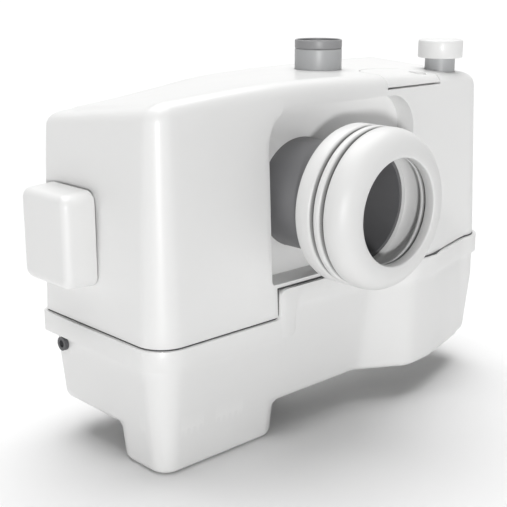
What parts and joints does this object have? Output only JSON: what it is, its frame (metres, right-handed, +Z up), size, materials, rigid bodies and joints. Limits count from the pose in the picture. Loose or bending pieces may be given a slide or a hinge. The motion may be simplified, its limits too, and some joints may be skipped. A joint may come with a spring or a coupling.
{
  "type": "sewage lifting unit",
  "caption": "Box-shaped macerating lifting pump for a toilet: tank with seamed housing, ribbed inlet collar, upright outlet, capped top inlet and side vent.",
  "frame": {"origin": "on the floor, below the middle of the flange's outline", "axes": "+Z up, -Y towards the toilet collar, +X to the right seen from the front"},
  "size_m": [0.3891, 0.223, 0.286],
  "materials": {
    "shell_plastic": "gloss white moulded plastic",
    "collar_rubber": "soft white rubber, satin",
    "seal_rubber": "black rubber, satin",
    "grey_plastic": "mid grey moulded plastic, satin",
    "dark_plastic": "near-black moulded plastic",
    "orange_plastic": "orange moulded plastic",
    "ball_rubber": "rubber-coated ball, satin",
    "steel": "stainless steel, brushed",
    "motor_aluminium": "die-cast aluminium, matt",
    "cast_iron": "coated cast iron, matt",
    "lamination": "lacquered steel laminations",
    "carbon": "activated carbon felt"
  },
  "bodies": {
    "unit": {"tank": "shell_plastic", "seam_gasket": "seal_rubber", "housing": "shell_plastic", "housing_screws": "steel", "lid_ring": "seal_rubber", "inlet_socket": "grey_plastic", "inlet_collar": "collar_rubber", "inlet_chute": "grey_plastic", "outlet_socket": "grey_plastic", "outlet_sleeve": "dark_plastic", "check_valve_body": "grey_plastic", "ball_stop": "steel", "valve_riser": "grey_plastic", "discharge_elbow": "grey_plastic", "top_inlet_pipe": "grey_plastic", "vent_cover": "shell_plastic", "carbon_filter": "carbon", "cable_gland": "dark_plastic", "deck": "grey_plastic", "motor_can": "motor_aluminium", "motor_base": "motor_aluminium", "motor_screws": "steel", "stator": "lamination", "upper_bearing": "steel", "lower_bearing": "steel", "shaft_seal": "seal_rubber", "pump_volute": "cast_iron", "wear_plate": "steel", "cutter_basket": "steel", "capacitor": "dark_plastic", "capacitor_clip": "grey_plastic", "dip_tube": "grey_plastic", "pressure_chamber": "grey_plastic", "diaphragm": "seal_rubber", "plunger_spring": "steel", "switch_bracket": "grey_plastic", "microswitch": "dark_plastic"},
    "rotor_set": {"rotor": "lamination", "motor_shaft": "steel", "impeller": "cast_iron", "cutter_blade": "steel"},
    "ball": {"check_ball": "ball_rubber"},
    "lid": {"access_lid": "shell_plastic"},
    "cap": {"top_inlet_cap": "shell_plastic"},
    "switch_plunger": {"plunger": "orange_plastic"}
  },
  "joints": [
    {"name": "rotor_spin", "type": "hinge", "parent": "unit", "child": "rotor_set", "pos_m": [0.1, 0.024, 0], "axis": [0, 0, 1], "continuous": true},
    {"name": "ball_lift", "type": "slide", "parent": "unit", "child": "ball", "axis": [0, 0, 1], "range_m": [0, 0.009]},
    {"name": "lid_lift", "type": "slide", "parent": "unit", "child": "lid", "axis": [0, 0, 1], "range_m": [0, 0.03]},
    {"name": "cap_lift", "type": "slide", "parent": "unit", "child": "cap", "axis": [0, 0, 1], "range_m": [0, 0.02]},
    {"name": "plunger_rise", "type": "slide", "parent": "unit", "child": "switch_plunger", "axis": [0, 0, 1], "range_m": [0, 0.002], "stiffness_N_per_m": 200, "deforming": ["plunger_spring"]}
  ]
}
